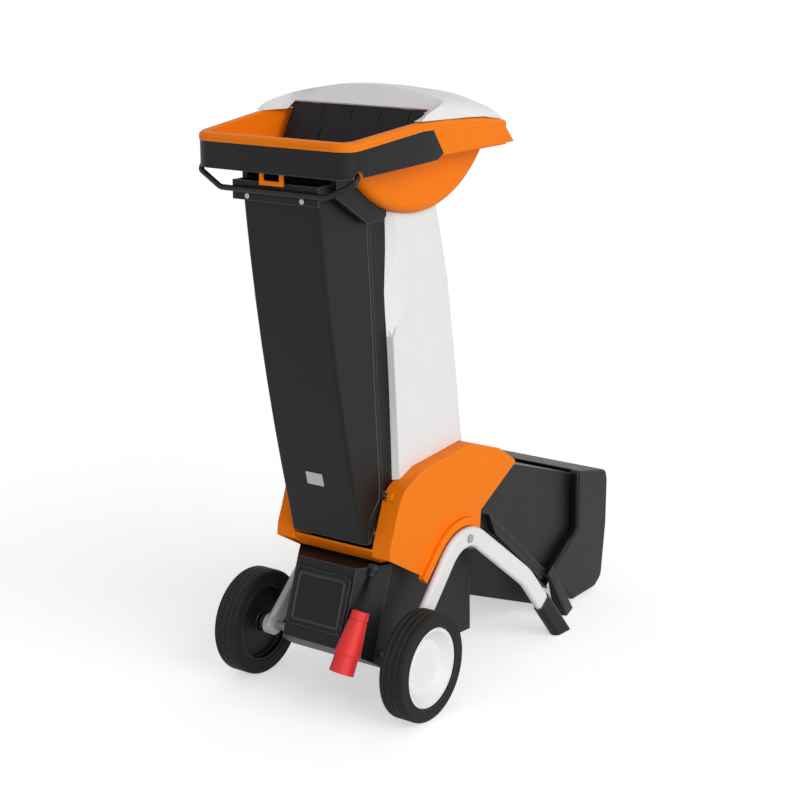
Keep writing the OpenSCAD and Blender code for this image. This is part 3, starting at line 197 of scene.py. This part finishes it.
# Rounded edges on the CAD nodes, in millimetres, with fewer segments up to SMALL_ROUND
SMALL_ROUND = 1.5
OTHER_ROUND = 0.3
edge_round = {
    "base_housing": 2, "motor_housing": 5, "front_cover": 1.5, "discharge_chute": 1.5,
    "storage_tray": 2, "chute_saddle": 3, "chute_front": 2, "hopper_band": 2.5, "hopper_latch": 1,
    "foot_left": 3, "foot_right": 3, "switch_box": 2, "lock_knob": 2, "start_button": 1, "stop_button": 1,
    "frame_bolts": 1, "handle_bolts": 1, "cover_screws": 0.5, "feed_curtain": 0.5,
    "rim_left": 1.5, "rim_right": 1.5, "hub_cap_left": 1, "hub_cap_right": 1, "hopper_hood": 2,
    "hopper_bowl": 2, "tyre_left": 1, "tyre_right": 1,
}

# Nodes whose corners have room for the full radius
soft_cornered = ["base_housing"]

# Nodes shaded as moulded, with sharp changes of slope kept
crisp = ["chute_rear"]

# Points closer than this, in metres, are one, and faces within FLAT_ANGLE of each other are one flat
WELD_GAP = 0.00002
FLAT_ANGLE = math.radians(0.4)

# Edges that bend by more than these are rounded, or split on a crisp node
ROUND_ANGLE = math.radians(35)
CRISP_ANGLE = math.radians(14)

for name, obj in nodes.items():
    dress(obj, slots[name])
    obj.data.polygons.foreach_set("use_smooth", [True] * len(obj.data.polygons))
    modify(obj, "weld", "WELD", merge_threshold=WELD_GAP)
    modify(obj, "flats", "DECIMATE", decimate_type="DISSOLVE", angle_limit=FLAT_ANGLE)
    if name in crisp:
        modify(obj, "split", "EDGE_SPLIT", split_angle=CRISP_ANGLE)
    else:
        radius = edge_round.get(name, OTHER_ROUND)
        modify(obj, "bevel", "BEVEL", width=radius / 1000, segments=4 if radius > SMALL_ROUND else 2,
            limit_method="ANGLE", angle_limit=ROUND_ANGLE, use_clamp_overlap=name not in soft_cornered)
        modify(obj, "normals", "WEIGHTED_NORMAL", keep_sharp=True)

# Mains cord, from the cable gland to the plug: points in millimetres, thickness in metres
CORD_DIAMETER = 0.0105
cord_points = [
    (108, -14, 312), (109, -18, 306), (110, -23, 300), (111, -27, 294), (112, -31, 288), (113, -35, 282),
    (114, -39, 276), (114, -43, 271), (115, -46, 267), (115, -49, 263), (115, -52, 260), (115, -55, 257),
    (115, -57, 254), (115, -60, 251), (115, -62, 248)]
cord_route = [spot(*p) for p in cord_points]
cord_curve = bpy.data.curves.new("mains_cord_line", "CURVE")
cord_curve.dimensions = "3D"
cord_curve.bevel_depth = CORD_DIAMETER / 2
cord_curve.bevel_resolution = 6
cord_spline = cord_curve.splines.new("POLY")
cord_spline.points.add(len(cord_route) - 1)
for point, place in zip(cord_spline.points, cord_route):
    point.co = (*place, 1)
cord = put("mains_cord_line", cord_curve)
dress(cord, "soft_rubber")
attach(cord, "base")
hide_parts("mains_cord")


# Pieces made here
def new_piece(name, verts, faces, body, slot):
    """Mesh piece from points in millimetres, riding on a body and finished by a slot of the record."""
    mesh = bpy.data.meshes.new(name)
    mesh.from_pydata([spot(*v) for v in verts], [], faces)
    shaped = bmesh.new()
    shaped.from_mesh(mesh)
    bmesh.ops.recalc_face_normals(shaped, faces=shaped.faces)
    shaped.to_mesh(mesh)
    shaped.free()
    mesh.polygons.foreach_set("use_smooth", [True] * len(mesh.polygons))
    piece = put(name, mesh)
    dress(piece, slot)
    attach(piece, body)
    return piece


def ring_faces(start, rings, count):
    """Faces that join rings of count points each, the first ring from point number start."""
    faces = []
    for low in range(start, start + (rings - 1) * count, count):
        for i in range(count):
            after = (i + 1) % count
            faces.append((low + i, low + after, low + count + after, low + count + i))
    return faces


def cap(start, count):
    """Face over one ring of points."""
    return list(range(start, start + count))


def both_sides(first, second):
    """Points and faces of a closed block between two outlines, on the right and mirrored on the left."""
    count = len(first)
    verts = [(side * x, y, z) for side in (1, -1) for x, y, z in first + second]
    faces = []
    for start in (0, 2 * count):
        faces += ring_faces(start, 2, count) + [cap(start, count), cap(start + count, count)]
    return verts, faces


def turned(top, axis, profile, steps):
    """Points and faces of a closed shape turned about a line: places along the line from top, and radii."""
    side = axis.orthogonal().normalized()
    other = axis.cross(side)
    verts = []
    for along, radius in profile:
        for k in range(steps):
            angle = 2 * math.pi * k / steps
            out = side * math.cos(angle) + other * math.sin(angle)
            verts.append(top + axis * along + out * radius)
    caps = [cap(0, steps), cap((len(profile) - 1) * steps, steps)]
    return verts, ring_faces(0, len(profile), steps) + caps


def rounded(points, radii, steps):
    """Outline with each corner rounded by its own radius."""
    made = []
    for i, radius in enumerate(radii):
        p, a, b = Vector(points[i]), Vector(points[i - 1]), Vector(points[(i + 1) % len(points)])
        u, v = (a - p).normalized(), (b - p).normalized()
        half = u.angle(v) / 2
        centre = p + (u + v).normalized() * radius / math.sin(half)
        first, last = [p + w * radius / math.tan(half) - centre for w in (u, v)]
        start = math.atan2(first.y, first.x)
        turn = (math.atan2(last.y, last.x) - start + math.pi) % (2 * math.pi) - math.pi
        for k in range(steps + 1):
            angle = start + turn * k / steps
            made.append(centre + Vector((math.cos(angle), math.sin(angle))) * radius)
    return made


def inset(points, depth):
    """Counter-clockwise outline moved inwards."""
    made = []
    for i, p in enumerate(points):
        before = (p - points[i - 1]).normalized()
        after = (points[(i + 1) % len(points)] - p).normalized()
        n1, n2 = Vector((-before.y, before.x)), Vector((-after.y, after.x))
        made.append(p + (n1 + n2) / (1 + n1.dot(n2)) * depth)
    return made


# Discharge hood with soft edges: a rounded cheek on each side, joined by the roof and the rear wall
HOOD_HALF = 177
HOOD_EDGE = 10
HOOD_STEPS = 5
HOOD_WALL = 3
DUCT_HALF = 150
DUCT_CLEAR = 1
CORNER_STEPS = 6
hood_corners = [(796, 361), (800, 200), (764, 184), (655, 118), (788, 12), (905, 12), (939, 34), (957, 180),
    (957, 300), (949, 326)]
hood_radii = [12, 14, 14, 11, 12, 20, 30, 40, 20, 16]
hood_outline = rounded(hood_corners, hood_radii, CORNER_STEPS)
hood_count = len(hood_outline)
hood_rings = [(DUCT_HALF + DUCT_CLEAR, 0)]
for k in range(HOOD_STEPS + 1):
    turn = math.pi / 2 * k / HOOD_STEPS
    hood_rings.append((HOOD_HALF - HOOD_EDGE * (1 - math.sin(turn)), HOOD_EDGE * (1 - math.cos(turn))))
hood_verts, hood_faces = [], []
for side in (1, -1):
    start = len(hood_verts)
    for x, depth in hood_rings:
        hood_verts += [(side * x, *p) for p in inset(hood_outline, depth)]
    hood_faces += ring_faces(start, len(hood_rings), hood_count)
    hood_faces.append(cap(start + (len(hood_rings) - 1) * hood_count, hood_count))

# The underside is open up to the end of this corner, where the rear wall starts
REAR_CORNER = 5
rear_start = REAR_CORNER * (CORNER_STEPS + 1) + CORNER_STEPS
far_side = len(hood_rings) * hood_count
for i in range(rear_start, hood_count):
    after = (i + 1) % hood_count
    hood_faces.append((i, after, far_side + after, far_side + i))
hood = new_piece("discharge_hood_shell", hood_verts, hood_faces, "base", "black_plastic")
modify(hood, "thickness", "SOLIDIFY", thickness=HOOD_WALL / 1000)
modify(hood, "normals", "WEIGHTED_NORMAL")

# Splayed skirts under the hood
SKIRT_ROUND = 2.2
skirt_low = [(174, 690, 2), (206, 704, 2), (192, 759, 2), (174, 775, 2)]
skirt_high = [(174, 650, 125), (179, 651, 125), (179, 673, 143), (174, 674, 143)]
skirts = new_piece("discharge_hood_skirts", *both_sides(skirt_low, skirt_high), "base", "black_plastic")
modify(skirts, "soft", "BEVEL", width=SKIRT_ROUND / 1000, segments=3)
modify(skirts, "normals", "WEIGHTED_NORMAL")
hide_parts("discharge_hood")
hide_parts("discharge_hood")

# Cheeks of the discharge chute, which reach forward inside the base housing's rear edge
CHEEK_WALL = 3.5
cheek = [(432, 474), (372, 384), (362, 330), (390, 318), (415, 299)]
cheek_inner, cheek_outer = [[(x, y, z) for y, z in cheek] for x in (DUCT_HALF - CHEEK_WALL, DUCT_HALF)]
cheeks = new_piece("discharge_chute_cheeks", *both_sides(cheek_inner, cheek_outer), "base", "black_plastic")
for polygon in cheeks.data.polygons:
    polygon.use_smooth = False

# Mains plug, turned about the line on which it hangs: places along the line and radii, in millimetres
PLUG_START = 1.3
PLUG_STEPS = 48
PLUG_ROUND = 0.4
PLUG_END = (106, -126, 119)
plug_collar = [(0, 7), (0.5, 18.5), (2, 19.8), (19, 21)]
plug_body = [(19.5, 19.2), (21.5, 19.2), (22, 20.8), (94, 29.6), (99, 29.8), (101, 29)]
plug_shroud = [(101.5, 27), (142, 28.4), (143, 27.8)]
plug_mouth = [(143, 24.4), (103, 24.4)]
plug_profile = [(PLUG_START + along, radius) for along, radius in
    plug_collar + plug_body + plug_shroud + plug_mouth]
plug_top = Vector(cord_points[-1])
plug_axis = (Vector(PLUG_END) - plug_top).normalized()
plug_shape = turned(plug_top, plug_axis, plug_profile, PLUG_STEPS)
plug = new_piece("mains_plug_body", *plug_shape, "base", "red_plastic")
modify(plug, "soft", "BEVEL", width=PLUG_ROUND / 1000, segments=2, limit_method="ANGLE")
modify(plug, "normals", "WEIGHTED_NORMAL")
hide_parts("mains_plug")

# Floor
FLOOR_HALF = 30
floor_mesh = bpy.data.meshes.new("floor")
floor_corners = [(-1, -1), (1, -1), (1, 1), (-1, 1)]
floor_verts = [(x * FLOOR_HALF, y * FLOOR_HALF, 0) for x, y in floor_corners]
floor_mesh.from_pydata(floor_verts, [], [(0, 1, 2, 3)])
floor = put("floor", floor_mesh)
floor_finish = material("floor", (0.9, 0.9, 0.9), 1.0, shine=0.0)
floor_mesh.materials.append(floor_finish)

# Light and background: the glow of the floor where it is seen, and the world as light and where it is seen
FLOOR_GLOW = 0.5
WORLD_LIGHT = 0.35
WORLD_SEEN = 1.0
WHITE = (1, 1, 1, 1)


def add_math(tree, operation, first, second):
    """Result of a math node on two outputs or numbers. A sum stays between 0 and 1."""
    made = add_node(tree, "Math", {0: first, 1: second}, operation=operation, use_clamp=operation == "ADD")
    return made.outputs[0]


def seen_ray(tree):
    """1 where a surface is seen, directly, in a shine or through glass, and 0 where it only gives light."""
    path = add_node(tree, "LightPath", {})
    mirrored = add_math(tree, "ADD", path.outputs["Is Camera Ray"], path.outputs["Is Glossy Ray"])
    return add_math(tree, "ADD", mirrored, path.outputs["Is Transmission Ray"])


# The floor is seen whiter than it is lit, and keeps the shadow
floor_tree = floor_finish.node_tree
glow = add_node(floor_tree, "Emission",
    {"Strength": add_math(floor_tree, "MULTIPLY", seen_ray(floor_tree), FLOOR_GLOW)})
both = add_node(floor_tree, "AddShader",
    {0: floor_tree.nodes["Principled BSDF"].outputs[0], 1: glow.outputs[0]})
feed(floor_tree, floor_tree.nodes["Material Output"], {"Surface": both.outputs[0]})


def sun(name, azimuth, elevation, strength, softness):
    """Soft sun from an azimuth, in degrees from +X towards +Y, and a height in degrees above the floor."""
    data = bpy.data.lights.new(name, "SUN")
    data.energy = strength
    data.angle = math.radians(softness)
    lamp = put(name, data)
    lamp.rotation_euler = (math.radians(90 - elevation), 0, math.radians(azimuth + 90))


sun("key", azimuth=-12, elevation=20, strength=1.85, softness=60)
sun("front", azimuth=-52, elevation=18, strength=0.4, softness=12)

# White all round where it is seen, and dimmer as light for the part
world = bpy.data.worlds.new("world")
scene.world = world
world.use_nodes = True
world_tree = world.node_tree
level = add_node(world_tree, "MapRange",
    {"To Min": WORLD_LIGHT, "To Max": WORLD_SEEN, "Value": seen_ray(world_tree)})
feed(world_tree, world_tree.nodes["Background"], {"Color": WHITE, "Strength": level.outputs["Result"]})

scene.view_settings.view_transform = "Standard"
scene.render.engine = "CYCLES"
